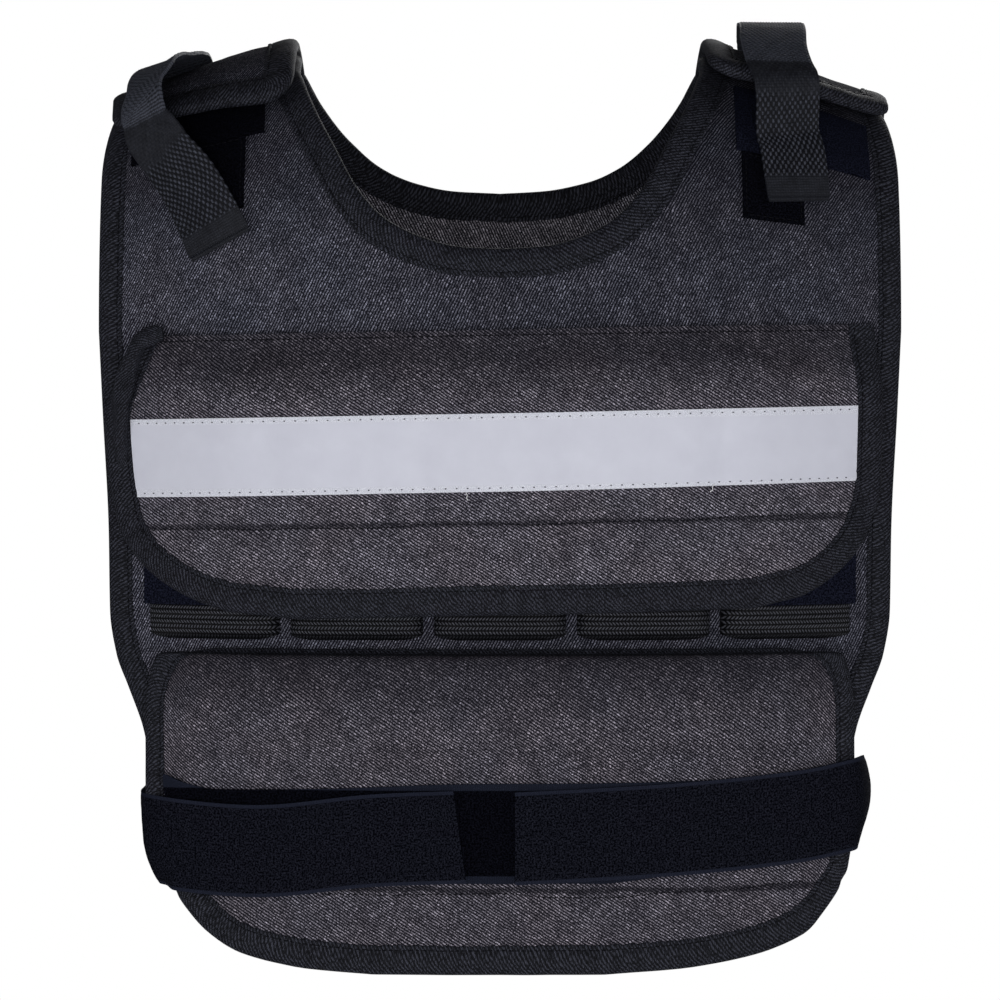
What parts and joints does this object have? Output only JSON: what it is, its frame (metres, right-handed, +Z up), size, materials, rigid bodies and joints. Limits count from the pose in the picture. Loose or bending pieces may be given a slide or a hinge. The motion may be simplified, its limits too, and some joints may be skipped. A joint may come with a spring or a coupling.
{
  "type": "weighted training vest",
  "caption": "Pull-over weighted training vest in dark denim: weight pockets under two bound flaps, a reflective stripe, webbing shoulder straps and a hook-and-loop belt.",
  "frame": {"origin": "midway between the two shoulder seats, at the underside of the shoulder crest, where the shoulders of a wearer carry the vest", "axes": "+Z up along the vest as worn, -Y out of its front, +X to the right of someone who looks at its front"},
  "size_m": [0.4418, 0.2628, 0.5165],
  "materials": {
    "denim": "steep black denim twill with pale flecks",
    "flap_denim": "black denim twill laid the other way, with pale flecks",
    "binding": "black herringbone binding tape",
    "pile": "dark navy loop pile",
    "belt_pile": "dark navy loop pile tape with woven selvedges",
    "reflective": "silver grey reflective tape",
    "elastic": "black braided ribbed elastic",
    "webbing": "black basket-weave webbing"
  },
  "bodies": {
    "root": {"front_panel": "denim", "front_neck_binding": "binding", "front_edge_binding": "binding", "back_panel": "denim", "back_binding": "binding", "shoulder_patch_left": "pile", "shoulder_strip_left": "pile", "shoulder_patch_right": "pile", "shoulder_strip_right": "pile", "shoulder_strap_left": "webbing", "shoulder_strap_right": "webbing", "upper_flap": "flap_denim", "upper_flap_binding": "binding", "reflective_stripe": "reflective", "weight_pocket_1": "elastic", "weight_pocket_2": "elastic", "weight_pocket_3": "elastic", "weight_pocket_4": "elastic", "weight_pocket_5": "elastic", "upper_pile_strip": "pile", "lower_flap": "flap_denim", "lower_flap_binding": "binding", "lower_weight_row": "elastic", "belt_pile_patch": "pile", "belt_left": "belt_pile", "belt_right": "belt_pile"}
  },
  "joints": []
}
